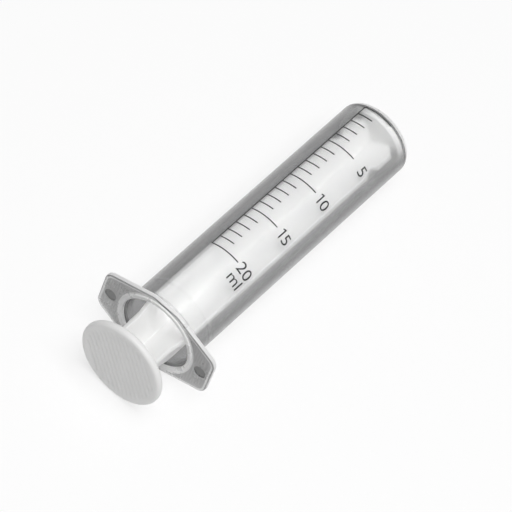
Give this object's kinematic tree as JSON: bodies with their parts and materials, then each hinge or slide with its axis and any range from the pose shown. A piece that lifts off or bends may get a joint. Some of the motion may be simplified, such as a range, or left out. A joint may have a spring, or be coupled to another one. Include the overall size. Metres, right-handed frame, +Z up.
{
  "type": "disposable syringe",
  "caption": "Clear moulded barrel with a finger flange and off-centre slip nozzle, a printed scale and a one-piece white sliding plunger.",
  "frame": {"origin": "on the barrel's axis, at the front face of the finger flange", "axes": "+Z up from the table the syringe lies on, +Y along the barrel towards the nozzle (which dips by 1.03 degrees because the flange is wider than the barrel), +X along the finger flange"},
  "size_m": [0.0368, 0.1139, 0.0256],
  "materials": {
    "clear_plastic": "clear polypropylene with a faint haze",
    "white_plastic": "satin white polyethylene",
    "black_ink": "printed ink"
  },
  "bodies": {
    "barrel": {"barrel": "clear_plastic", "graduation_print": "black_ink"},
    "plunger": {"plunger": "white_plastic"}
  },
  "joints": [
    {"name": "plunger_slide", "type": "slide", "parent": "barrel", "child": "plunger", "axis": [0, -0.9998, 0.018], "range_m": [0, 0.079]}
  ]
}
